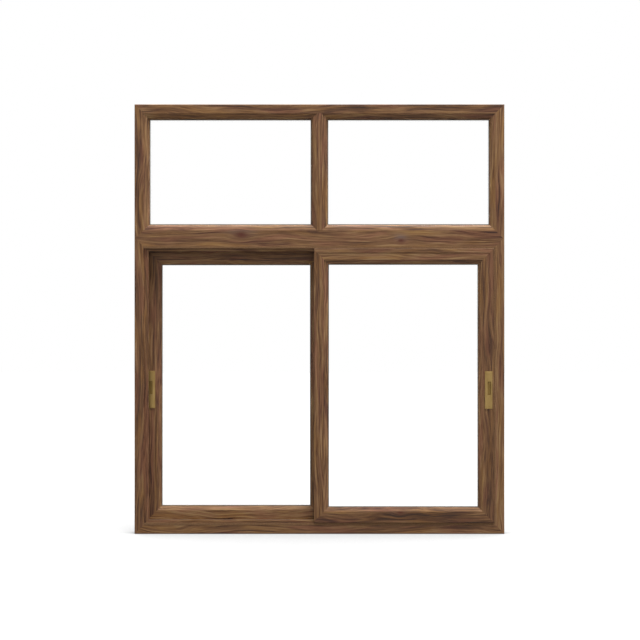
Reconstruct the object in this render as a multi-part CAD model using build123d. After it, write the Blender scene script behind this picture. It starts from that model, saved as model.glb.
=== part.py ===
from build123d import *
import os

# Two fixed lights over two sliding sashes, in mitred plastic profiles.
# Millimetres, front towards -Y, +Z up, origin under the middle of the sill.

# Outer frame
WIDTH = 1500
HEIGHT = 1742
DEPTH = 80
FRAME_BOX = 37
FRAME_ROUND = 4
TRANSOM_BOX = 66
MULLION_BOX = 20

# Fixed upper lights
UPPER_DAYLIGHT = 428
UPPER_COVER = 23
UPPER_LEG_COVER = 18
UPPER_BEAD_DEPTH = 20
UPPER_LEG_BEVEL = 12

# Tracks
TRACK_SETBACK = 15
RIB_RISE = 19
RIB_THICKNESS = 10
RIB_SHOULDER = 4
RIB_ROUND = 1.5
RAIL_HEIGHT = 1.5
RAIL_WIDTH = 6

# Glass units
PANE = 4
UPPER_CAVITY = 16
SASH_CAVITY = 8
GLASS_EDGE_GAP = 5
GASKET = 1
GASKET_WIDTH = 6
GASKET_SHOW = 3
SPACER_WIDTH = 7
SPACER_INSET = 3

# Sashes
SASH_THICKNESS = 38
SASH_BOX = 45
SASH_BORDER = 16
SASH_STEP = 1.5
SASH_COVER = 17.5
SASH_LEG_COVER = 14.5
SASH_LEG = 9
SASH_GROOVE = 26
SASH_BEAD_DEPTH = 14
SASH_LEG_BEVEL = 4
SASH_ROUND = 1.5
SASH_SIDE_GAP = 6
SASH_BOTTOM_GAP = 9
SASH_TOP_GAP = 8
STILE_OVERLAP = 42
MEETING_TRIM = 6
RUN_CLEARANCE = 5

# Beads
BEAD_STEP = 0.6
BEAD_LAND = 11
BEAD_FALL = 3
BEAD_EDGE = 3
SASH_BEAD_LAND = 3
SASH_BEAD_FALL = 1.2
MITRE_GAP = 0.3

# Interlock strips on the meeting stiles
STRIP_WALL = 2
STRIP_RETURN = 20
STRIP_CLEARANCE = 6.5
STRIP_PRONG = 8
STRIP_END = 20
STRIP_SETBACK = 2
FIT = 0.3

# Roller carriages and top guides
WHEEL_RADIUS = 10
WHEEL_WIDTH = 8
WHEEL_LIFT = 0.3
WHEEL_PLAY = 1
AXLE_RADIUS = 3
AXLE_PLAY = 0.1
AXLE_END_GAP = 0.5
CARRIAGE_LENGTH = 60
CARRIAGE_INSET = 90
CARRIAGE_CAP = 2
CHEEK_GAP = 0.5
GUIDE_LENGTH = 40
GUIDE_INSET = 60
GUIDE_PLAY = 1
GUIDE_SETBACK = 1

# Pulls, latches and keepers
PULL_HEIGHT = 584
PULL_WIDTH = 30
PULL_LENGTH = 152
PULL_EDGE = 6.5
PULL_PROUD = 2
PULL_BEVEL = 9
PULL_END_BEVEL = 6
PULL_RIM = 0.8
RECESS_WIDTH = 14
RECESS_LENGTH = 54
RECESS_DEPTH = 6
RECESS_EDGE = 5.5
RECESS_RISE = 7
CUP_WALL = 1
BUTTON_RADIUS = 3
BUTTON_INSET = 6
BUTTON_LENGTH = 6.5
BOLT_LENGTH = 6
BOLT_HEIGHT = 30
BOLT_WIDTH = 8
KEEPER_LENGTH = 60
KEEPER_THICKNESS = 2

# Stops in the channels over the sashes
STOP_LENGTH = 63

# Weep slots in the back of the sill
WEEP_LENGTH = 30
WEEP_WIDTH = 5
WEEP_DEPTH = 6
WEEP_HEIGHT = 14
WEEP_SPACING = 560
WEEP_COUNT = 3

# Fixing holes through the jambs
FIXING_RADIUS = 4
FIXING_SPACING = 300
FIXING_MIDDLE = 630
FIXING_COUNT = 4

# Worked out from the sizes above
FRONT = -DEPTH / 2
BACK = DEPTH / 2
SIDE = WIDTH / 2
TRACK = DEPTH / 2 - TRACK_SETBACK
RIB_TIP = FRAME_BOX + RIB_RISE
RAIL_TOP = RIB_TIP + RAIL_HEIGHT
UPPER_FACE = FRAME_BOX + UPPER_COVER
UPPER_TOP = HEIGHT - UPPER_FACE
UPPER_BOTTOM = UPPER_TOP - UPPER_DAYLIGHT
UPPER_LEG_FRONT = FRONT + UPPER_BEAD_DEPTH + 2 * (GASKET + PANE) + UPPER_CAVITY
TRANSOM_TOP = UPPER_BOTTOM - UPPER_COVER
TRANSOM_UNDERSIDE = TRANSOM_TOP - TRANSOM_BOX
TRANSOM_TIP = TRANSOM_UNDERSIDE - RIB_RISE
MULLION_EDGE = MULLION_BOX / 2
MULLION_HALF = MULLION_EDGE + UPPER_COVER
HEAD_UNDERSIDE = HEIGHT - FRAME_BOX
MITRE_REACH = UPPER_FACE + RIB_RISE
VEE_Z = (UPPER_BOTTOM - UPPER_FACE + TRANSOM_TIP + RIB_TIP) / 2
VEE_INSET = (UPPER_FACE - UPPER_BOTTOM + TRANSOM_TIP + RIB_TIP) / 2
GROOVE_HALF = SASH_THICKNESS / 2 - SASH_LEG
SASH_FACE = SASH_BOX + SASH_COVER
SASH_LEG_FRONT = SASH_BEAD_DEPTH + 2 * (GASKET + PANE) + SASH_CAVITY
SASH_FRONT = -TRACK - SASH_THICKNESS / 2
SASH_BACK = SASH_FRONT + SASH_THICKNESS
SASH_INSET = SASH_FRONT + SASH_STEP
STRIP_FIN = 2 * TRACK - SASH_THICKNESS - STRIP_WALL - STRIP_CLEARANCE
SASH_BOTTOM = FRAME_BOX + SASH_BOTTOM_GAP
SASH_TOP = TRANSOM_UNDERSIDE - SASH_TOP_GAP
SASH_OUTER = SIDE - FRAME_BOX - SASH_SIDE_GAP
SASH_INNER = -STILE_OVERLAP / 2
SASH_NOMINAL = SASH_INNER - MEETING_TRIM
SASH_MIDDLE_X = (SASH_OUTER + SASH_NOMINAL) / 2
SASH_MIDDLE_Z = (SASH_TOP + SASH_BOTTOM) / 2
SASH_WIDTH = SASH_OUTER - SASH_NOMINAL
SASH_HEIGHT = SASH_TOP - SASH_BOTTOM
RECESS_X = SASH_OUTER - PULL_EDGE - RECESS_EDGE - RECESS_WIDTH / 2
RECESS_Z = PULL_HEIGHT + RECESS_RISE


def bar(section, middle, inward, length):
    """A straight profile: its section is drawn as distance inward by depth."""
    across = Vector(*inward)
    plane = Plane(origin=middle, x_dir=across, z_dir=across.cross(Vector(0, 1, 0)))
    return extrude(plane * section, length / 2, both=True)


def outline(*points):
    """A face with straight sides through the points."""
    return make_face(Polyline(*points, close=True))


def elevation(points, front=-DEPTH, back=DEPTH):
    """A prism whose outline is seen from the front, as (x, z) points."""
    face = Plane.XZ.offset(-back) * outline(*points)
    return extrude(face, back - front)


def block(x, y, z):
    """A box between the given low and high values along each axis."""
    size = [high - low for low, high in (x, y, z)]
    middle = [(high + low) / 2 for low, high in (x, y, z)]
    return Pos(*middle) * Box(*size)


def rectangle_ring(middle, half, width, front, back):
    """A flat rectangular ring around a middle (x, z), with outer half sizes."""
    outer = Rectangle(2 * half[0], 2 * half[1])
    inner = Rectangle(2 * (half[0] - width), 2 * (half[1] - width))
    plane = Plane(origin=(middle[0], back, middle[1]), x_dir=(1, 0, 0), z_dir=(0, -1, 0))
    return extrude(plane * (outer - inner), back - front)


def rounded(face, radius, *corners):
    """The face with the named corners rounded."""
    picked = []
    for x, y in corners:
        picked += [v for v in face.vertices() if abs(v.X - x) + abs(v.Y - y) < 0.001]
    return fillet(picked, radius)


def edged(face, radius):
    """The face with the two outer arrises of the frame rounded, or left sharp."""
    return rounded(face, radius, (0, FRONT), (0, BACK)) if radius else face


def mirrored(shape):
    return mirror(shape, about=Plane.YZ)


# Sections of the outer frame


def track_section(box, edge_round=FRAME_ROUND):
    """A box with the two ribs that the sashes straddle."""
    face = outline((0, FRONT), (box, FRONT), (box, BACK), (0, BACK))
    tip = box + RIB_RISE
    for side in (-1, 1):
        near = side * (TRACK - RIB_THICKNESS / 2)
        far = side * (TRACK + RIB_THICKNESS / 2)
        edge = side * DEPTH / 2
        shoulder = box + RIB_SHOULDER
        face += outline((0, near), (tip, near), (tip, far), (shoulder, far), (box, edge), (0, edge))
        face = rounded(face, RIB_ROUND, (tip, near), (tip, far))
    return edged(face, edge_round)


def glazed_section(box, edge_round=FRAME_ROUND):
    """A box with the rear leg that the upper glass rests against."""
    tip = box + UPPER_LEG_COVER
    face = outline(
        (0, FRONT),
        (box, FRONT),
        (box, UPPER_LEG_FRONT),
        (tip, UPPER_LEG_FRONT),
        (tip, BACK - UPPER_LEG_BEVEL),
        (tip - UPPER_LEG_BEVEL, BACK),
        (0, BACK),
    )
    return edged(face, edge_round)


def bead_section(cover, front, depth, land, fall):
    """A glazing bead: a shallow land, then a full curve down to the glass."""
    top = front + BEAD_STEP
    back = front + depth
    shoulder = (land, top + fall)
    edge = (cover, back - BEAD_EDGE)
    along = Vector(land, fall).normalized()
    lines = Polyline(shoulder, (0, top), (0, back), (cover, back), edge)
    crown = TangentArc(shoulder, edge, tangent=along)
    return make_face(Curve() + [lines, crown])


# Members of the outer frame


def jamb():
    lower = bar(track_section(FRAME_BOX), (-SIDE, 0, VEE_Z / 2), (1, 0, 0), VEE_Z)
    rise = HEIGHT - VEE_Z
    upper = bar(glazed_section(FRAME_BOX), (-SIDE, 0, VEE_Z + rise / 2), (1, 0, 0), rise)
    reach = MITRE_REACH - VEE_INSET
    mask = elevation(
        [
            (-SIDE, 0),
            (-SIDE, HEIGHT),
            (-SIDE + MITRE_REACH, HEIGHT - MITRE_REACH),
            (-SIDE + MITRE_REACH, VEE_Z + reach),
            (-SIDE + VEE_INSET, VEE_Z),
            (-SIDE + MITRE_REACH, VEE_Z - reach),
            (-SIDE + MITRE_REACH, MITRE_REACH),
        ]
    )
    return (lower + upper) & mask


def fixing_holes():
    """The bores through a jamb for the wall fixings."""
    low = FIXING_MIDDLE - FIXING_SPACING * (FIXING_COUNT - 1) / 2
    holes = []
    for index in range(FIXING_COUNT):
        place = Pos(-SIDE, 0, low + index * FIXING_SPACING)
        holes.append(place * Rot(0, 90, 0) * Cylinder(FIXING_RADIUS, 2 * RIB_TIP))
    return holes


def sill():
    bottom = bar(track_section(FRAME_BOX), (0, 0, 0), (0, 0, 1), WIDTH)
    inner = SIDE - MITRE_REACH
    mask = elevation([(-SIDE, 0), (-inner, MITRE_REACH), (inner, MITRE_REACH), (SIDE, 0)])
    return (bottom & mask) - weep_slots()


def weep_slots():
    """Blind slots that drain the sill's chambers to the outside."""
    slot = SlotOverall(WEEP_LENGTH, WEEP_WIDTH)
    plane = Plane(origin=(0, BACK, WEEP_HEIGHT), x_dir=(1, 0, 0), z_dir=(0, -1, 0))
    places = GridLocations(WEEP_SPACING, WEEP_SPACING, WEEP_COUNT, 1)
    return [extrude(plane * place * slot, WEEP_DEPTH) for place in places]


def head():
    top = bar(glazed_section(FRAME_BOX), (0, 0, HEIGHT), (0, 0, -1), WIDTH)
    inner = SIDE - MITRE_REACH
    low = HEIGHT - MITRE_REACH
    notch = MULLION_EDGE + HEAD_UNDERSIDE - low
    mask = elevation(
        [
            (-SIDE, HEIGHT),
            (SIDE, HEIGHT),
            (inner, low),
            (notch, low),
            (MULLION_EDGE, HEAD_UNDERSIDE),
            (-MULLION_EDGE, HEAD_UNDERSIDE),
            (-notch, low),
            (-inner, low),
        ]
    )
    return top & mask


def transom():
    half = TRANSOM_BOX / 2
    middle = (0, 0, TRANSOM_UNDERSIDE + half)
    under = bar(track_section(half, 0), middle, (0, 0, -1), WIDTH)
    over = bar(glazed_section(half, 0), middle, (0, 0, 1), WIDTH)
    tip = SIDE - VEE_INSET
    inner = SIDE - MITRE_REACH
    reach = tip - inner
    notch = MULLION_EDGE + VEE_Z + reach - TRANSOM_TOP
    mask = elevation(
        [
            (-tip, VEE_Z),
            (-inner, VEE_Z + reach),
            (-notch, VEE_Z + reach),
            (-MULLION_EDGE, TRANSOM_TOP),
            (MULLION_EDGE, TRANSOM_TOP),
            (notch, VEE_Z + reach),
            (inner, VEE_Z + reach),
            (tip, VEE_Z),
            (inner, VEE_Z - reach),
            (-inner, VEE_Z - reach),
        ]
    )
    return (under + over) & mask


def mullion():
    half = bar(glazed_section(MULLION_EDGE, 0), (0, 0, HEIGHT / 2), (1, 0, 0), HEIGHT)
    mask = elevation(
        [
            (-MULLION_EDGE, TRANSOM_TOP),
            (MULLION_EDGE, TRANSOM_TOP),
            (MULLION_HALF, UPPER_BOTTOM),
            (MULLION_HALF, UPPER_TOP),
            (MULLION_EDGE, HEAD_UNDERSIDE),
            (-MULLION_EDGE, HEAD_UNDERSIDE),
            (-MULLION_HALF, UPPER_TOP),
            (-MULLION_HALF, UPPER_BOTTOM),
        ]
    )
    return (half + mirrored(half)) & mask


# Glazing that repeats in every light


def bead_set(section, cover, middle, half):
    """Four mitred beads around a light, with a hairline at each mitre."""
    x, z = middle
    wide, tall = half
    beads = []
    for axis, reach, run in (((1, 0, 0), wide, tall), ((0, 0, 1), tall, wide)):
        for side in (-1, 1):
            inward = Vector(*axis) * -side
            start = Vector(x, 0, z) - inward * reach
            stick = bar(section, start, tuple(inward), 2 * run)
            near = run - MITRE_GAP / 2
            far = near - cover
            if axis[0]:
                edge = x + side * reach
                inner = edge - side * cover
                points = [(edge, z - near), (edge, z + near), (inner, z + far), (inner, z - far)]
            else:
                edge = z + side * reach
                inner = edge - side * cover
                points = [(x - near, edge), (x + near, edge), (x + far, inner), (x - far, inner)]
            beads.append(stick & elevation(points))
    return Compound(beads)


def panes(middle, half, front, cavity):
    """The two sheets of a glass unit."""
    x, z = middle
    sheets = []
    for start in (front, front + PANE + cavity):
        span = (x - half[0], x + half[0])
        rise = (z - half[1], z + half[1])
        sheets.append(block(span, (start, start + PANE), rise))
    return Compound(sheets)


def spacer(middle, half, front, cavity):
    inner = (half[0] - SPACER_INSET, half[1] - SPACER_INSET)
    return rectangle_ring(middle, inner, SPACER_WIDTH, front + PANE, front + PANE + cavity)


def gaskets(middle, sight, leg_sight, front, unit):
    """The seals before and behind a glass unit, each just past its sight line."""
    hidden = GASKET_WIDTH - GASKET_SHOW
    rings = []
    for edge, start in ((sight, front - GASKET), (leg_sight, front + unit)):
        outer = (edge[0] + hidden, edge[1] + hidden)
        rings.append(rectangle_ring(middle, outer, GASKET_WIDTH, start, start + GASKET))
    return Compound(rings)


def glazing(section, middle, half, cover, leg_cover, front, cavity):
    """Beads, glass, spacer bar and seals of a light, from its rebate's half sizes."""
    glass_half = (half[0] - GLASS_EDGE_GAP, half[1] - GLASS_EDGE_GAP)
    sight = (half[0] - cover, half[1] - cover)
    leg_sight = (half[0] - leg_cover, half[1] - leg_cover)
    glass_front = front + GASKET
    return {
        "beads": bead_set(section, cover, middle, half),
        "glass": panes(middle, glass_half, glass_front, cavity),
        "spacer": spacer(middle, glass_half, glass_front, cavity),
        "gaskets": gaskets(middle, sight, leg_sight, glass_front, 2 * PANE + cavity),
    }


def upper_light():
    """The left fixed light."""
    left = -SIDE + FRAME_BOX
    right = -MULLION_EDGE
    middle = ((left + right) / 2, (UPPER_TOP + UPPER_BOTTOM) / 2)
    half = ((right - left) / 2, UPPER_DAYLIGHT / 2 + UPPER_COVER)
    section = bead_section(UPPER_COVER, FRONT, UPPER_BEAD_DEPTH, BEAD_LAND, BEAD_FALL)
    back = FRONT + UPPER_BEAD_DEPTH
    return glazing(section, middle, half, UPPER_COVER, UPPER_LEG_COVER, back, UPPER_CAVITY)


# Track fittings on the outer frame


def track_depth(half):
    """The depth range that reaches half a width either side of the front track."""
    return (-TRACK - half, -TRACK + half)


def sill_rails():
    """The metal runners that lie on the two ribs of the sill."""
    reach = SIDE - RIB_TIP
    rails = []
    for track in (-TRACK, TRACK):
        depth = (track - RAIL_WIDTH / 2, track + RAIL_WIDTH / 2)
        rails.append(block((-reach, reach), depth, (RIB_TIP, RAIL_TOP)))
    return Compound(rails)


def sash_stops():
    """One stop at the far end of each track, behind the ribs over the sashes."""
    wall = -SIDE + FRAME_BOX
    inner = -TRACK + GROOVE_HALF
    stop = block((wall, wall + STOP_LENGTH), (inner, inner + SASH_LEG), (TRANSOM_TIP, TRANSOM_UNDERSIDE))
    return Compound([stop, Rot(0, 0, 180) * stop])


def keeper():
    """The latch plate on the flat of the right jamb's front rib."""
    tip = SIDE - RIB_TIP
    rise = (PULL_HEIGHT - KEEPER_LENGTH / 2, PULL_HEIGHT + KEEPER_LENGTH / 2)
    return block((tip - KEEPER_THICKNESS, tip), track_depth(RIB_THICKNESS / 2 - RIB_ROUND), rise)


# The right sash, in the front track


def sash_section():
    """A box with a raised border, a groove that straddles a rib, and a rear leg."""
    low = SASH_LEG
    high = SASH_THICKNESS - SASH_LEG
    tip = SASH_BOX + SASH_LEG_COVER
    face = outline(
        (0, 0),
        (SASH_BORDER, 0),
        (SASH_BORDER, SASH_STEP),
        (SASH_BOX, SASH_STEP),
        (SASH_BOX, SASH_LEG_FRONT),
        (tip, SASH_LEG_FRONT),
        (tip, SASH_THICKNESS - SASH_LEG_BEVEL),
        (tip - SASH_LEG_BEVEL, SASH_THICKNESS),
        (0, SASH_THICKNESS),
        (0, high),
        (SASH_GROOVE, high),
        (SASH_GROOVE, low),
        (0, low),
    )
    return Pos(0, SASH_FRONT) * rounded(face, SASH_ROUND, (0, 0), (0, SASH_THICKNESS))


def sash_mask(tall, side):
    """The mitred outline of one member, cut off square at the meeting edge."""
    x, z = SASH_MIDDLE_X, SASH_MIDDLE_Z
    wide, high = SASH_WIDTH / 2, SASH_HEIGHT / 2
    if tall:
        edge = x + side * wide
        inner = edge - side * SASH_FACE
        far = high - SASH_FACE
        points = [(edge, z - high), (edge, z + high), (inner, z + far), (inner, z - far)]
    else:
        edge = z + side * high
        inner = edge - side * SASH_FACE
        far = wide - SASH_FACE
        points = [(x - wide, edge), (x + wide, edge), (x + far, inner), (x - far, inner)]
    kept = block((SASH_INNER, SASH_OUTER), (-DEPTH, DEPTH), (SASH_BOTTOM, SASH_TOP))
    return elevation(points) & kept


def sash_rail(side):
    place = (SASH_MIDDLE_X, 0, SASH_MIDDLE_Z + side * SASH_HEIGHT / 2)
    return bar(sash_section(), place, (0, 0, -side), SASH_WIDTH) & sash_mask(False, side)


def sash_stile(side):
    place = (SASH_MIDDLE_X + side * SASH_WIDTH / 2, 0, SASH_MIDDLE_Z)
    return bar(sash_section(), place, (-side, 0, 0), SASH_HEIGHT) & sash_mask(True, side)


def groove_depth(clearance):
    """The depth range of the outer groove, less a clearance each side."""
    return track_depth(GROOVE_HALF - clearance)


def carriage_places():
    return (SASH_INNER + CARRIAGE_INSET, SASH_OUTER - CARRIAGE_INSET)


def carriage_top():
    return RAIL_TOP + WHEEL_LIFT + 2 * WHEEL_RADIUS + CARRIAGE_CAP


def bottom_rail():
    """The lower rail, with a pocket over each roller carriage."""
    rail = sash_rail(-1)
    for x in carriage_places():
        half = CARRIAGE_LENGTH / 2 + FIT
        rail -= block((x - half, x + half), groove_depth(0), (SASH_BOTTOM, carriage_top() + FIT))
    return rail


def rollers():
    """Two carriages in the lower rail, each a housing and a wheel on its axle."""
    solids = []
    low = RAIL_TOP + RUN_CLEARANCE
    axle_z = RAIL_TOP + WHEEL_LIFT + WHEEL_RADIUS
    depth = groove_depth(FIT)
    slot = WHEEL_RADIUS + WHEEL_PLAY
    for x in carriage_places():
        half = CARRIAGE_LENGTH / 2
        housing = block((x - half, x + half), depth, (low, carriage_top()))
        housing -= block((x - slot, x + slot), track_depth(WHEEL_WIDTH / 2 + CHEEK_GAP), (low, axle_z + slot))
        place = Pos(x, -TRACK, axle_z) * Rot(90, 0, 0)
        housing -= place * Cylinder(AXLE_RADIUS + AXLE_PLAY, SASH_THICKNESS)
        axle = Cylinder(AXLE_RADIUS, depth[1] - depth[0] - 2 * AXLE_END_GAP)
        wheel = Cylinder(WHEEL_RADIUS, WHEEL_WIDTH) + axle
        solids += [housing, place * wheel]
    return Compound(solids)


def guides():
    """Two slotted blocks in the upper rail that straddle the rib."""
    solids = []
    base = SASH_TOP - SASH_GROOVE
    top = SASH_TOP - GUIDE_SETBACK
    for x in (SASH_INNER + GUIDE_INSET, SASH_OUTER - GUIDE_INSET):
        span = (x - GUIDE_LENGTH / 2, x + GUIDE_LENGTH / 2)
        guide = block(span, groove_depth(FIT), (base, top))
        slot = track_depth(RIB_THICKNESS / 2 + GUIDE_PLAY)
        guide -= block(span, slot, (TRANSOM_TIP - RUN_CLEARANCE, top))
        solids.append(guide)
    return Compound(solids)


def interlock():
    """The strip that closes the meeting stile's groove, with a fin behind."""
    skin = -STRIP_WALL
    shelf = SASH_BACK + STRIP_WALL
    fin = STRIP_RETURN - STRIP_WALL
    low, high = groove_depth(FIT)
    start = SASH_FRONT + STRIP_SETBACK
    section = outline((skin, start), (0, start), (0, SASH_BACK), (skin, SASH_BACK))
    section += outline(
        (skin, SASH_BACK),
        (STRIP_RETURN, SASH_BACK),
        (STRIP_RETURN, shelf + STRIP_FIN),
        (fin, shelf + STRIP_FIN),
        (fin, shelf),
        (skin, shelf),
    )
    for near, far in ((low, low + STRIP_WALL), (high - STRIP_WALL, high)):
        section += outline((skin, near), (STRIP_PRONG, near), (STRIP_PRONG, far), (skin, far))
    return bar(section, (SASH_INNER, 0, SASH_MIDDLE_Z), (1, 0, 0), SASH_HEIGHT - 2 * STRIP_END)


def recess_box(grow, front, back):
    """The finger recess, grown by a wall all round."""
    wide = RECESS_WIDTH / 2 + grow
    tall = RECESS_LENGTH / 2 + grow
    return block((RECESS_X - wide, RECESS_X + wide), (front, back), (RECESS_Z - tall, RECESS_Z + tall))


def pull():
    """A bevelled plate on the lock stile, with a cup for the fingers."""
    outer = SASH_OUTER - PULL_EDGE
    inner = outer - PULL_WIDTH
    face = SASH_FRONT - PULL_PROUD
    rim = SASH_FRONT - PULL_RIM
    low, high = PULL_HEIGHT - PULL_LENGTH / 2, PULL_HEIGHT + PULL_LENGTH / 2
    border = SASH_OUTER - SASH_BORDER
    plate = block((inner, outer), (face, SASH_FRONT), (low, high))
    plate += block((inner, border), (SASH_FRONT, SASH_INSET), (low, high))
    bevel = outline((inner, rim), (inner, face), (inner + PULL_BEVEL, face))
    plate -= Pos(0, 0, low) * extrude(bevel, PULL_LENGTH)
    for end, turn in ((low, 1), (high, -1)):
        corner = Plane.YZ * outline((rim, end), (face, end), (face, end + turn * PULL_END_BEVEL))
        plate -= Pos(inner, 0, 0) * extrude(corner, PULL_WIDTH)
    cup_back = SASH_FRONT + RECESS_DEPTH
    plate += recess_box(CUP_WALL, SASH_FRONT, cup_back + CUP_WALL)
    return plate - recess_box(0, face, cup_back)


def latch():
    """The thumb button at the recess's top, and the bolt's nose in the groove."""
    floor = SASH_FRONT + RECESS_DEPTH
    z = RECESS_Z + RECESS_LENGTH / 2 - BUTTON_INSET
    place = Pos(RECESS_X, floor - BUTTON_LENGTH / 2, z) * Rot(90, 0, 0)
    button = place * Cylinder(BUTTON_RADIUS, BUTTON_LENGTH)
    wall = SASH_OUTER - SASH_GROOVE
    rise = (PULL_HEIGHT - BOLT_HEIGHT / 2, PULL_HEIGHT + BOLT_HEIGHT / 2)
    bolt = block((wall, wall + BOLT_LENGTH), track_depth(BOLT_WIDTH / 2), rise)
    return Compound([button, bolt])


def lock_stile():
    """The outer stile, with a pocket behind the pull."""
    return sash_stile(1) - recess_box(CUP_WALL + FIT, SASH_FRONT, SASH_FRONT + RECESS_DEPTH + CUP_WALL)


def sash_glazing():
    half = (SASH_WIDTH / 2 - SASH_BOX, SASH_HEIGHT / 2 - SASH_BOX)
    middle = (SASH_MIDDLE_X, SASH_MIDDLE_Z)
    back = SASH_FRONT + SASH_BEAD_DEPTH
    section = bead_section(SASH_COVER, SASH_INSET, back - SASH_INSET, SASH_BEAD_LAND, SASH_BEAD_FALL)
    return glazing(section, middle, half, SASH_COVER, SASH_LEG_COVER, back, SASH_CAVITY)


def right_sash():
    pieces = {
        "top_rail": sash_rail(1),
        "bottom_rail": bottom_rail(),
        "lock_stile": lock_stile(),
        "meeting_stile": sash_stile(-1),
        "interlock": interlock(),
        "rollers": rollers(),
        "guides": guides(),
        "pull": pull(),
        "latch": latch(),
    }
    pieces.update(sash_glazing())
    return pieces


# The whole window


def rear_place(name, shape):
    """The same piece of the left sash, in the rear track."""
    if name == "interlock":
        return Rot(0, 0, 180) * shape
    return Pos(0, 2 * TRACK, 0) * mirrored(shape)


def build():
    left_jamb = jamb() - fixing_holes()
    nodes = {
        "frame_head": head(),
        "frame_sill": sill(),
        "left_jamb": left_jamb,
        "right_jamb": mirrored(left_jamb),
        "transom": transom(),
        "upper_mullion": mullion(),
        "sill_rails": sill_rails(),
        "sash_stops": sash_stops(),
        "right_keeper": keeper(),
        "left_keeper": Rot(0, 0, 180) * keeper(),
    }
    for name, shape in upper_light().items():
        nodes["upper_left_" + name] = shape
        nodes["upper_right_" + name] = mirrored(shape)
    for name, shape in right_sash().items():
        nodes["right_sash_" + name] = shape
        nodes["left_sash_" + name] = rear_place(name, shape)
    return nodes


os.makedirs("parts", exist_ok=True)
for node, shape in build().items():
    export_step(shape, "parts/" + node + ".step")
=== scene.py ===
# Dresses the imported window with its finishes, and adds the floor, light and camera.
import bpy
import math
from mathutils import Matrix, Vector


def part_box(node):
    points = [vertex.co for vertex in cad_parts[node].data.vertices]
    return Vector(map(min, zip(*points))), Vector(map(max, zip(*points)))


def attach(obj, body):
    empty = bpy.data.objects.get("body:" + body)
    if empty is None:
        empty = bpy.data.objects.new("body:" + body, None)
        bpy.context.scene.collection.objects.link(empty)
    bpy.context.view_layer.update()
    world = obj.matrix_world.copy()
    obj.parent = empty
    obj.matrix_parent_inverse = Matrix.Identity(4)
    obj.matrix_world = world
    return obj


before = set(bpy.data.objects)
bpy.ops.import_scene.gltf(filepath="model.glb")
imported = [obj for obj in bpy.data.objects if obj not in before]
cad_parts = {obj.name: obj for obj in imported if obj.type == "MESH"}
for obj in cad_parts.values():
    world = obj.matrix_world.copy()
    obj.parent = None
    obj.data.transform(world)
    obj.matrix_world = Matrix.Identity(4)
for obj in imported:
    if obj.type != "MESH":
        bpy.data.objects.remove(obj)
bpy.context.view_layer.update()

# Where the camera stands, in metres
CAMERA_X = 0.0022
CAMERA_HEIGHT = 0.8675
CAMERA_DISTANCE = 6.6
VIEW_WIDTH = 2.594
SENSOR = 36.0

# Depth behind a pull's face from which its finger recess takes a painted shade, in metres
HOLLOW_SHADE_START = 0.0025

# Pile seals, in metres: clearance from the sash, bite into the frame, stand before its face
PILE_GAP = 0.001
PILE_BITE = 0.0005
PILE_PROUD = 0.0005
PILE_DEPTH = 0.004

# Colours as the eye sees them, 0 to 255
GRAIN_TONES = (
    (0.34, (46, 29, 18)),
    (0.42, (80, 52, 33)),
    (0.49, (116, 82, 54)),
    (0.56, (137, 102, 69)),
    (0.64, (160, 126, 88)),
)
CAST_TONES = ((0.36, (246, 228, 236)), (0.5, (255, 254, 250)), (0.64, (255, 247, 222)))
KNOT_TONE = (84, 40, 24)
KNOT_EYE_TONE = (118, 99, 92)
BRASS_TONE = (150, 124, 76)
BRASS_DARK_TONE = (134, 108, 62)
# The deep brass tone, also used as the painted shade in the pulls' finger recesses
BRASS_DEEP_AND_SHADE_TONE = (124, 99, 53)
RUBBER_TONE = (112, 110, 102)
STOP_TONE = (34, 32, 31)
PILE_TONE = (150, 114, 82)
RAIL_TONE = (120, 96, 74)
STRIP_TONE = (84, 60, 42)
SPACER_TONE = (150, 148, 144)
RUNNER_TONE = (44, 42, 40)

# Grain noises, in waves per metre along, across and through the member
SWAY_WAVES = (1.7, 7.0, 7.0)
RIPPLE_WAVES = (6.5, 22.0, 22.0)
BROAD_WAVES = (2.4, 52.0, 44.0)
STREAK_WAVES = (6.5, 190.0, 165.0)
FIBRE_WAVES = (16.0, 430.0, 380.0)
CAST_WAVES = (5.0, 34.0, 32.0)

# How far the grain lines wander, in metres, and how the noises mix
SWAY_REACH = 0.1
RIPPLE_REACH = 0.01
BROAD_SHARE = 0.34
STREAK_SHARE = 0.72
FIBRE_SHARE = 0.12
GRAIN_SHIFT = -0.094
# Painted highlight: the beads' foil is a lighter copy, standing in for the light on their bevels
BEAD_HIGHLIGHT_LIFT = 0.025

# Where each seed looks in the noises, in metres along, across and through
SEED_STEPS = (7.31, 0.77, 0.39)

# Knots: length for height, how far they bend the lines, fading and strength of heart and eye
KNOT_STRETCH = 1.9
KNOT_PULL = 0.82
HEART_FADE = 2.4
EYE_FADE = 0.9
HEART_SHARE = 0.96
EYE_SHARE = 0.7
EYE_LIFT = 0.035

# Surface of the foil
FIBRE_RELIEF = 0.6
GRAIN_BUMP = 0.25
GRAIN_RELIEF = 0.0006
FOIL_ROUGHNESS = (0.46, 0.22)
FOIL_SPECULAR = 0.32

# Brushing and clouding of the metals, in waves per metre, and how they mix
BRUSH_WAVES = (60.0, 2600.0, 2600.0)
CLOUD_WAVES = (25.0, 60.0, 60.0)
BRUSH_SHARE = 0.35
CLOUD_SHARE = 0.65
METAL_SHARE = 0.85
METAL_SPREAD = 0.16

# Steps of tone in the soft materials and the anodised metals
RUBBER_STEP = 22
PILE_DARKENING = 0.72
ANODISED_DARKENING = 0.8
BAR_DARKENING = 0.9

# First seed of the bead sets
BEAD_SEED = 20

# Strength of the world's light from the left and from the right
AMBIENT_LEFT = 0.2
AMBIENT_RIGHT = 0.8

# The floor, with two painted shadows in its glow by the share of open sky: their depth and reach in
# metres; its matt part keeps the real shadow
FLOOR_SIZE = 40.0
FLOOR_TONE = 0.15
OPEN_SHARE = 0.5
CONTACT_SHADOW_GLOW = 0.88
CONTACT_REACH = 0.25
WIDE_SHADOW_GLOW = 0.58
WIDE_REACH = 2.2

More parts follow.
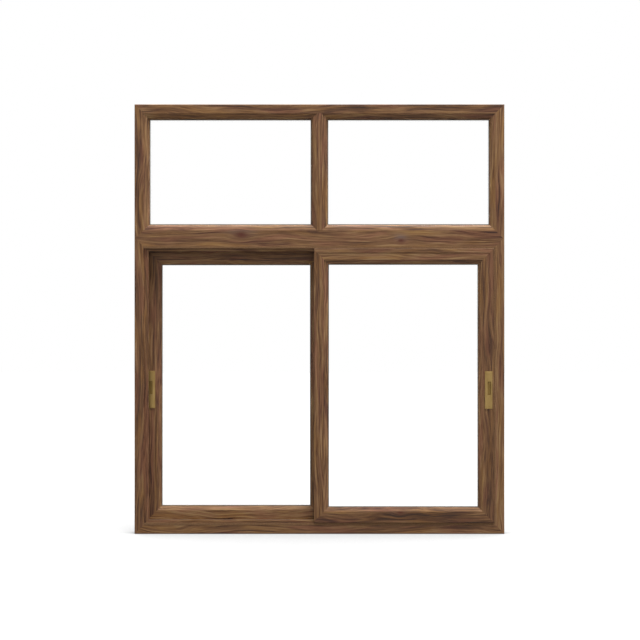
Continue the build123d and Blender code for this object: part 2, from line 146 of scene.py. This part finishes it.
# The lamp: place, target, size in metres and power in watts
LAMP_PLACE = (1.2, -1.7, 9.0)
LAMP_TARGET = (0, 0, 0.9)
LAMP_SIZE = (4.0, 2.5)
LAMP_POWER = 1200


def linear(tone):
    """A tone from 0 to 255 as the linear colour that shaders take."""
    channels = []
    for value in tone:
        part = value / 255
        channels.append(part / 12.92 if part <= 0.04045 else ((part + 0.055) / 1.055) ** 2.4)
    return (*channels, 1.0)


def darker(tone, share):
    return tuple(value * share for value in tone)


class Graph:
    """A material's node tree, with short ways to add and join nodes."""

    def __init__(self, name):
        self.material = bpy.data.materials.new(name)
        self.material.use_nodes = True
        self.tree = self.material.node_tree
        self.tree.nodes.clear()
        self.output = self.tree.nodes.new("ShaderNodeOutputMaterial")

    def node(self, kind, **settings):
        made = self.tree.nodes.new(kind)
        for name, value in settings.items():
            setattr(made, name, value)
        return made

    def feed(self, socket, value):
        if isinstance(value, bpy.types.NodeSocket):
            self.tree.links.new(value, socket)
        else:
            socket.default_value = value

    def math(self, operation, *values):
        made = self.node("ShaderNodeMath", operation=operation)
        for socket, value in zip(made.inputs, values):
            self.feed(socket, value)
        return made.outputs[0]

    def vector(self, x, y, z):
        made = self.node("ShaderNodeCombineXYZ")
        for socket, value in zip(made.inputs, (x, y, z)):
            self.feed(socket, value)
        return made.outputs[0]

    def stretched(self, axes, waves):
        """The three axes as one vector, each times its waves per metre."""
        return self.vector(*[self.math("MULTIPLY", axis, wave) for axis, wave in zip(axes, waves)])

    def fade(self, square, rate):
        """One at a centre, falling off with the squared distance from it."""
        return self.math("EXPONENT", self.math("MULTIPLY", square, -rate))

    def noise(self, vector, detail=2.0, roughness=0.5, distortion=0.0, scale=1.0):
        made = self.node("ShaderNodeTexNoise")
        self.feed(made.inputs["Vector"], vector)
        made.inputs["Scale"].default_value = scale
        made.inputs["Detail"].default_value = detail
        made.inputs["Roughness"].default_value = roughness
        made.inputs["Distortion"].default_value = distortion
        return made.outputs["Fac"]

    def ramp(self, factor, stops):
        made = self.node("ShaderNodeValToRGB")
        elements = made.color_ramp.elements
        while len(elements) < len(stops):
            elements.new(0.5)
        for element, (place, tone) in zip(elements, stops):
            element.position = place
            element.color = linear(tone)
        self.feed(made.inputs["Fac"], factor)
        return made.outputs["Color"]

    def blend(self, factor, first, second, mode="MIX"):
        made = self.node("ShaderNodeMix", data_type="RGBA", blend_type=mode)
        self.feed(made.inputs["Factor"], factor)
        self.feed(made.inputs["A"], first)
        self.feed(made.inputs["B"], second)
        return made.outputs["Result"]

    def object_axes(self):
        coordinates = self.node("ShaderNodeTexCoord")
        split = self.node("ShaderNodeSeparateXYZ")
        self.tree.links.new(coordinates.outputs["Object"], split.inputs[0])
        return split.outputs

    def bump(self, height, strength, distance):
        made = self.node("ShaderNodeBump")
        made.inputs["Strength"].default_value = strength
        made.inputs["Distance"].default_value = distance
        self.feed(made.inputs["Height"], height)
        return made.outputs["Normal"]

    def principled(self, **values):
        shader = self.node("ShaderNodeBsdfPrincipled")
        for name, value in values.items():
            self.feed(shader.inputs[name.replace("_", " ")], value)
        return shader

    def finish(self, shader):
        self.tree.links.new(shader.outputs[0], self.output.inputs["Surface"])
        return self.material


def run_axes(graph, run, light=None):
    """Coordinates along, across and through a member or the beads of a light."""
    x, y, z = graph.object_axes()
    if run == "x":
        return x, z, y
    if run == "z":
        return z, x, y
    middle_x, middle_z, half_x, half_z = light
    off_x = graph.math("ABSOLUTE", graph.math("SUBTRACT", x, middle_x))
    off_z = graph.math("ABSOLUTE", graph.math("SUBTRACT", z, middle_z))
    from_side = graph.math("SUBTRACT", half_x, off_x)
    from_end = graph.math("SUBTRACT", half_z, off_z)
    upright = graph.math("LESS_THAN", from_side, from_end)
    level = graph.math("SUBTRACT", 1.0, upright)
    along = graph.math("ADD", graph.math("MULTIPLY", z, upright), graph.math("MULTIPLY", x, level))
    across = graph.math("ADD", graph.math("MULTIPLY", x, upright), graph.math("MULTIPLY", z, level))
    return along, across, y


def knot_field(graph, along, across, knots):
    """Grain lines that bulge round each knot, its dark heart and the grey eye over it."""
    heart = 0.0
    eye = 0.0
    shifted = across
    for place, level, radius in knots:
        run = graph.math("DIVIDE", graph.math("SUBTRACT", along, place), radius * KNOT_STRETCH)
        rise = graph.math("SUBTRACT", across, level)
        near = graph.math("DIVIDE", rise, radius)
        over = graph.math("SUBTRACT", near, 1.0)
        run_square = graph.math("MULTIPLY", run, run)
        square = graph.math("ADD", run_square, graph.math("MULTIPLY", near, near))
        ring = graph.math("ADD", run_square, graph.math("MULTIPLY", over, over))
        bulge = graph.math("MULTIPLY", rise, graph.fade(square, 1.0))
        shifted = graph.math("SUBTRACT", shifted, graph.math("MULTIPLY", bulge, KNOT_PULL))
        heart = graph.math("MAXIMUM", heart, graph.fade(square, HEART_FADE))
        eye = graph.math("MAXIMUM", eye, graph.fade(ring, EYE_FADE))
    return shifted, heart, eye


def wandering(graph, far, across, depth):
    """How far the grain lines swing to one side, from a slow noise and a quick one."""
    total = 0.0
    for waves, reach in ((SWAY_WAVES, SWAY_REACH), (RIPPLE_WAVES, RIPPLE_REACH)):
        swing = graph.math("SUBTRACT", graph.noise(graph.stretched((far, across, depth), waves)), 0.5)
        total = graph.math("ADD", total, graph.math("MULTIPLY", swing, reach))
    return total


def grained_foil(name, run, seed, knots=(), light=None, lift=0.0):
    """Walnut-grained foil whose figure runs along the member."""
    graph = Graph(name)
    along, across, depth = run_axes(graph, run, light)
    bent, heart, eye = knot_field(graph, along, across, knots)
    seed_along, seed_across, seed_depth = [seed * step for step in SEED_STEPS]
    far = graph.math("ADD", along, seed_along)
    line = graph.math("ADD", graph.math("ADD", bent, wandering(graph, far, across, depth)), seed_across)
    axes = (far, line, graph.math("ADD", depth, seed_depth))
    broad = graph.noise(graph.stretched(axes, BROAD_WAVES), detail=3.0)
    streak = graph.noise(
        graph.stretched(axes, STREAK_WAVES), detail=5.0, roughness=0.66, distortion=0.25
    )
    fibre = graph.noise(graph.stretched(axes, FIBRE_WAVES))
    cast = graph.noise(graph.stretched(axes, CAST_WAVES))
    figure = GRAIN_SHIFT + lift
    for layer, share in ((streak, STREAK_SHARE), (broad, BROAD_SHARE), (fibre, FIBRE_SHARE)):
        figure = graph.math("ADD", figure, graph.math("MULTIPLY", layer, share))
    if knots:
        figure = graph.math("ADD", figure, graph.math("MULTIPLY", eye, EYE_LIFT))
    wood = graph.ramp(figure, GRAIN_TONES)
    colour = graph.blend(1.0, wood, graph.ramp(cast, CAST_TONES), "MULTIPLY")
    if knots:
        for field, share, tone in ((eye, EYE_SHARE, KNOT_EYE_TONE), (heart, HEART_SHARE, KNOT_TONE)):
            colour = graph.blend(graph.math("MULTIPLY", field, share), colour, linear(tone))
    relief = graph.math("ADD", streak, graph.math("MULTIPLY", fibre, FIBRE_RELIEF))
    least_rough, spread = FOIL_ROUGHNESS
    rough = graph.math("ADD", least_rough, graph.math("MULTIPLY", fibre, spread))
    normal = graph.bump(relief, GRAIN_BUMP, GRAIN_RELIEF)
    shader = graph.principled(Base_Color=colour, Roughness=rough, Normal=normal)
    shader.inputs["Specular IOR Level"].default_value = FOIL_SPECULAR
    return graph.finish(shader)


def satin_metal(name, tone, dark_tone, roughness, run="z", hollow_shade=None):
    """Lacquered or anodised metal, brushed along its run, and with a painted shade past a depth."""
    graph = Graph(name)
    axes = run_axes(graph, run)
    brushed = graph.noise(graph.stretched(axes, BRUSH_WAVES))
    cloud = graph.noise(graph.stretched(axes, CLOUD_WAVES), detail=3.0)
    lines = graph.math("MULTIPLY", brushed, BRUSH_SHARE)
    mixed = graph.math("ADD", lines, graph.math("MULTIPLY", cloud, CLOUD_SHARE))
    colour = graph.ramp(mixed, ((0.36, dark_tone), (0.6, tone)))
    if hollow_shade:
        start, shade_tone = hollow_shade
        # Painted shade: past the start depth the recess takes the deep tone
        in_shade = graph.math("GREATER_THAN", axes[2], start)
        colour = graph.blend(in_shade, colour, linear(shade_tone))
    spread = graph.math("MULTIPLY", cloud, METAL_SPREAD)
    rough = graph.math("ADD", roughness - METAL_SPREAD / 2, spread)
    normal = graph.bump(brushed, 0.12, 0.0001)
    shader = graph.principled(Base_Color=colour, Roughness=rough, Normal=normal)
    shader.inputs["Metallic"].default_value = METAL_SHARE
    return graph.finish(shader)


def soft_solid(name, tone, roughness, grain_size):
    """Rubber or moulded plastic, with a fine matt texture."""
    graph = Graph(name)
    coordinates = graph.node("ShaderNodeTexCoord").outputs["Object"]
    grain = graph.noise(coordinates, detail=3.0, scale=grain_size)
    bright = tuple(min(255, value + RUBBER_STEP) for value in tone)
    colour = graph.ramp(grain, ((0.35, tone), (0.7, bright)))
    rough = graph.math("ADD", roughness, graph.math("MULTIPLY", grain, 0.15))
    shader = graph.principled(Base_Color=colour, Roughness=rough, Normal=graph.bump(grain, 0.2, 0.0002))
    shader.inputs["Specular IOR Level"].default_value = 0.3
    return graph.finish(shader)


def float_glass(name):
    """Clear glass with a faint ripple, which lets the light through to the floor."""
    graph = Graph(name)
    coordinates = graph.node("ShaderNodeTexCoord").outputs["Object"]
    ripple = graph.noise(coordinates, detail=1.0, scale=1.5)
    pane = graph.principled(Normal=graph.bump(ripple, 0.02, 0.001))
    pane.inputs["Base Color"].default_value = (1.0, 1.0, 1.0, 1.0)
    pane.inputs["Roughness"].default_value = 0.0
    pane.inputs["IOR"].default_value = 1.45
    pane.inputs["Transmission Weight"].default_value = 1.0
    clear = graph.node("ShaderNodeBsdfTransparent")
    path = graph.node("ShaderNodeLightPath")
    mix = graph.node("ShaderNodeMixShader")
    graph.feed(mix.inputs[0], path.outputs["Is Shadow Ray"])
    graph.feed(mix.inputs[1], pane.outputs[0])
    graph.feed(mix.inputs[2], clear.outputs[0])
    return graph.finish(mix)


def pile(name, tone):
    """Short dense wool pile, with tufts that vary in shade."""
    graph = Graph(name)
    coordinates = graph.node("ShaderNodeTexCoord").outputs["Object"]
    tuft = graph.noise(coordinates, detail=3.0, scale=700.0)
    dark = darker(tone, PILE_DARKENING)
    colour = graph.ramp(tuft, ((0.35, dark), (0.65, tone)))
    shader = graph.principled(Base_Color=colour, Normal=graph.bump(tuft, 0.6, 0.0006))
    shader.inputs["Roughness"].default_value = 0.9
    shader.inputs["Specular IOR Level"].default_value = 0.1
    return graph.finish(shader)


def solid_block(name, spans):
    """A box between two values along each axis, in metres."""
    low, high = [min(span) for span in spans], [max(span) for span in spans]
    corners = [(x, y, z) for x in (low[0], high[0]) for y in (low[1], high[1]) for z in (low[2], high[2])]
    faces = [(0, 1, 3, 2), (4, 6, 7, 5), (0, 4, 5, 1), (2, 3, 7, 6), (0, 2, 6, 4), (1, 5, 7, 3)]
    mesh = bpy.data.meshes.new(name)
    mesh.from_pydata(corners, [], faces)
    piece = bpy.data.objects.new(name, mesh)
    bpy.context.scene.collection.objects.link(piece)
    return piece


def seen_directly(tree):
    """One where the ray comes from the camera, a mirror or through glass, else zero."""
    path = tree.nodes.new("ShaderNodeLightPath")
    total = path.outputs["Is Camera Ray"]
    for name in ("Is Glossy Ray", "Is Transmission Ray"):
        most = tree.nodes.new("ShaderNodeMath")
        most.operation = "MAXIMUM"
        tree.links.new(total, most.inputs[0])
        tree.links.new(path.outputs[name], most.inputs[1])
        total = most.outputs[0]
    return total


def white_world():
    world = bpy.data.worlds.new("studio")
    bpy.context.scene.world = world
    world.use_nodes = True
    tree = world.node_tree
    tree.nodes.clear()
    background = tree.nodes.new("ShaderNodeBackground")
    background.inputs["Color"].default_value = (1.0, 1.0, 1.0, 1.0)
    direction = tree.nodes.new("ShaderNodeTexCoord")
    split = tree.nodes.new("ShaderNodeSeparateXYZ")
    tree.links.new(direction.outputs["Generated"], split.inputs[0])
    ambient = tree.nodes.new("ShaderNodeMapRange")
    ambient.inputs["From Min"].default_value = -1.0
    ambient.inputs["To Min"].default_value = AMBIENT_LEFT
    ambient.inputs["To Max"].default_value = AMBIENT_RIGHT
    tree.links.new(split.outputs["X"], ambient.inputs["Value"])
    level = tree.nodes.new("ShaderNodeMapRange")
    tree.links.new(ambient.outputs[0], level.inputs["To Min"])
    level.inputs["To Max"].default_value = 1.0
    tree.links.new(seen_directly(tree), level.inputs["Value"])
    tree.links.new(level.outputs[0], background.inputs["Strength"])
    output = tree.nodes.new("ShaderNodeOutputWorld")
    tree.links.new(background.outputs[0], output.inputs["Surface"])


def floor():
    half = FLOOR_SIZE / 2
    mesh = bpy.data.meshes.new("floor")
    corners = [(-half, -half, 0), (half, -half, 0), (half, half, 0), (-half, half, 0)]
    mesh.from_pydata(corners, [], [(0, 1, 2, 3)])
    plane = bpy.data.objects.new("floor", mesh)
    bpy.context.scene.collection.objects.link(plane)
    graph = Graph("floor_white")
    matt = graph.node("ShaderNodeBsdfDiffuse")
    matt.inputs["Color"].default_value = (FLOOR_TONE, FLOOR_TONE, FLOOR_TONE, 1.0)
    level = seen_directly(graph.tree)
    # Painted shadow: the floor's glow dims where the object hides the open sky, close by and wide around
    # it
    for reach, darkest in ((CONTACT_REACH, CONTACT_SHADOW_GLOW), (WIDE_REACH, WIDE_SHADOW_GLOW)):
        near = graph.node("ShaderNodeAmbientOcclusion", samples=8)
        near.inputs["Distance"].default_value = reach
        shade = graph.node("ShaderNodeMapRange")
        graph.feed(shade.inputs["Value"], near.outputs["AO"])
        shade.inputs["From Min"].default_value = OPEN_SHARE
        shade.inputs["To Min"].default_value = darkest
        level = graph.math("MULTIPLY", level, shade.outputs[0])
    glow = graph.node("ShaderNodeEmission")
    graph.feed(glow.inputs["Strength"], level)
    both = graph.node("ShaderNodeAddShader")
    graph.feed(both.inputs[0], matt.outputs[0])
    graph.feed(both.inputs[1], glow.outputs[0])
    mesh.materials.append(graph.finish(both))


def area_lamp(name, place, target, size, power):
    data = bpy.data.lights.new(name, "AREA")
    data.shape = "RECTANGLE"
    data.size, data.size_y = size
    data.energy = power
    lamp = bpy.data.objects.new(name, data)
    bpy.context.scene.collection.objects.link(lamp)
    lamp.location = place
    away = [start - end for start, end in zip(place, target)]
    flat = math.hypot(away[0], away[1])
    lamp.rotation_euler = (math.atan2(flat, away[2]), 0, math.atan2(away[0], -away[1]))


def camera():
    data = bpy.data.cameras.new("camera")
    data.sensor_width = SENSOR
    data.lens = SENSOR * CAMERA_DISTANCE / VIEW_WIDTH
    view = bpy.data.objects.new("camera", data)
    bpy.context.scene.collection.objects.link(view)
    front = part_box("left_jamb")[0][1]
    view.location = (CAMERA_X, front - CAMERA_DISTANCE, CAMERA_HEIGHT)
    view.rotation_euler = (math.radians(90), 0, 0)
    bpy.context.scene.camera = view


def dress(node, material):
    """Gives a carried-over node its finish."""
    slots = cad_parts[node].material_slots
    for slot in slots:
        slot.material = material


def light_of(node):
    """Middle and half sizes of the rectangle that a bead set fills."""
    low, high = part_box(node)
    middle = [(low[i] + high[i]) / 2 for i in (0, 2)]
    half = [(high[i] - low[i]) / 2 for i in (0, 2)]
    return (*middle, *half)


# Grain direction, seed, lift in tone and knots (place along, level across, radius) of each member
MEMBERS = {
    "frame_head": ("x", 1, 0.0, ()),
    "frame_sill": ("x", 2, 0.028, ()),
    "left_jamb": ("z", 3, -0.006, ()),
    "right_jamb": ("z", 4, 0.042, ()),
    "transom": ("x", 5, 0.02, ((-0.317, 1.214, 0.026), (0.33, 1.19, 0.013))),
    "upper_mullion": ("z", 6, 0.0, ()),
    "left_sash_top_rail": ("x", 7, 0.0, ()),
    "left_sash_bottom_rail": ("x", 8, 0.046, ()),
    "left_sash_lock_stile": ("z", 9, 0.0, ()),
    "left_sash_meeting_stile": ("z", 10, 0.0, ()),
    "right_sash_top_rail": ("x", 11, 0.05, ()),
    "right_sash_bottom_rail": ("x", 12, -0.03, ((0.327, 0.09, 0.016),)),
    "right_sash_lock_stile": ("z", 13, 0.0, ()),
    "right_sash_meeting_stile": ("z", 14, 0.025, ()),
}


def finishes():
    for node, (run, seed, lift, knots) in MEMBERS.items():
        dress(node, grained_foil(node + "_foil", run, seed, knots, None, lift))
    bead_sets = sorted(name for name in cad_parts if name.endswith("_beads"))
    # The beads get the lighter copy of the foil, a painted highlight
    for seed, node in enumerate(bead_sets, BEAD_SEED):
        dress(node, grained_foil(node + "_foil", "ring", seed, (), light_of(node), BEAD_HIGHLIGHT_LIFT))
    brass = satin_metal("aged_brass", BRASS_DARK_TONE, BRASS_DEEP_AND_SHADE_TONE, 0.42)
    for node in ("left_sash_pull", "right_sash_pull"):
        # Painted shade in each pull's finger recess, past a depth behind its face
        hollow_shade = (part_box(node)[0][1] + HOLLOW_SHADE_START, BRASS_DEEP_AND_SHADE_TONE)
        dress(node, satin_metal(node + "_brass", BRASS_TONE, BRASS_DARK_TONE, 0.42, "z", hollow_shade))
    strip = satin_metal("bronze_strip", STRIP_TONE, darker(STRIP_TONE, ANODISED_DARKENING), 0.5)
    rail = satin_metal("bronze_rail", RAIL_TONE, darker(RAIL_TONE, ANODISED_DARKENING), 0.4, "x")
    bar = satin_metal("spacer_bar", SPACER_TONE, darker(SPACER_TONE, BAR_DARKENING), 0.45)
    rubber = soft_solid("seal_rubber", RUBBER_TONE, 0.6, 900.0)
    stop = soft_solid("stop_rubber", STOP_TONE, 0.6, 900.0)
    nylon = soft_solid("black_nylon", RUNNER_TONE, 0.45, 500.0)
    glass = float_glass("clear_glass")
    endings = {
        "_glass": glass,
        "_gaskets": rubber,
        "_spacer": bar,
        "_latch": brass,
        "_keeper": brass,
        "_interlock": strip,
        "_rollers": nylon,
        "_guides": nylon,
        "_stops": stop,
        "_rails": rail,
    }
    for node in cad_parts:
        for ending, material in endings.items():
            if node.endswith(ending) and node not in MEMBERS:
                dress(node, material)


def pile_seals():
    """Pile strips on the outer frame, in the gaps beside, over and under each sash."""
    sash_low, sash_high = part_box("right_sash_lock_stile")
    jamb_low, jamb_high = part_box("right_jamb")
    wall, _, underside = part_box("sash_stops")[1]
    sill_top = jamb_high[0] - wall
    front = jamb_low[1]
    run = (-wall, wall)
    depth = (front - PILE_PROUD, front + PILE_DEPTH)
    beside = ((sash_high[0] + PILE_GAP, wall + PILE_BITE), depth, (sash_low[2], sash_high[2]))
    over = (run, depth, (sash_high[2] + PILE_GAP, underside + PILE_BITE))
    under = (run, depth, (sill_top - PILE_BITE, sash_low[2] - PILE_GAP))
    material = pile("brown_pile", PILE_TONE)
    for turn, side in ((1, "right"), (-1, "left")):
        for place, spans in (("jamb", beside), ("transom", over), ("sill", under)):
            corners = [[turn * value for value in span] for span in spans[:2]] + [list(spans[2])]
            piece = solid_block(f"{side}_{place}_pile", corners)
            piece.data.materials.append(material)
            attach(piece, "outer_frame")


finishes()
pile_seals()
white_world()
floor()
area_lamp("overhead", LAMP_PLACE, LAMP_TARGET, LAMP_SIZE, LAMP_POWER)
camera()
bpy.context.scene.view_settings.view_transform = "Standard"
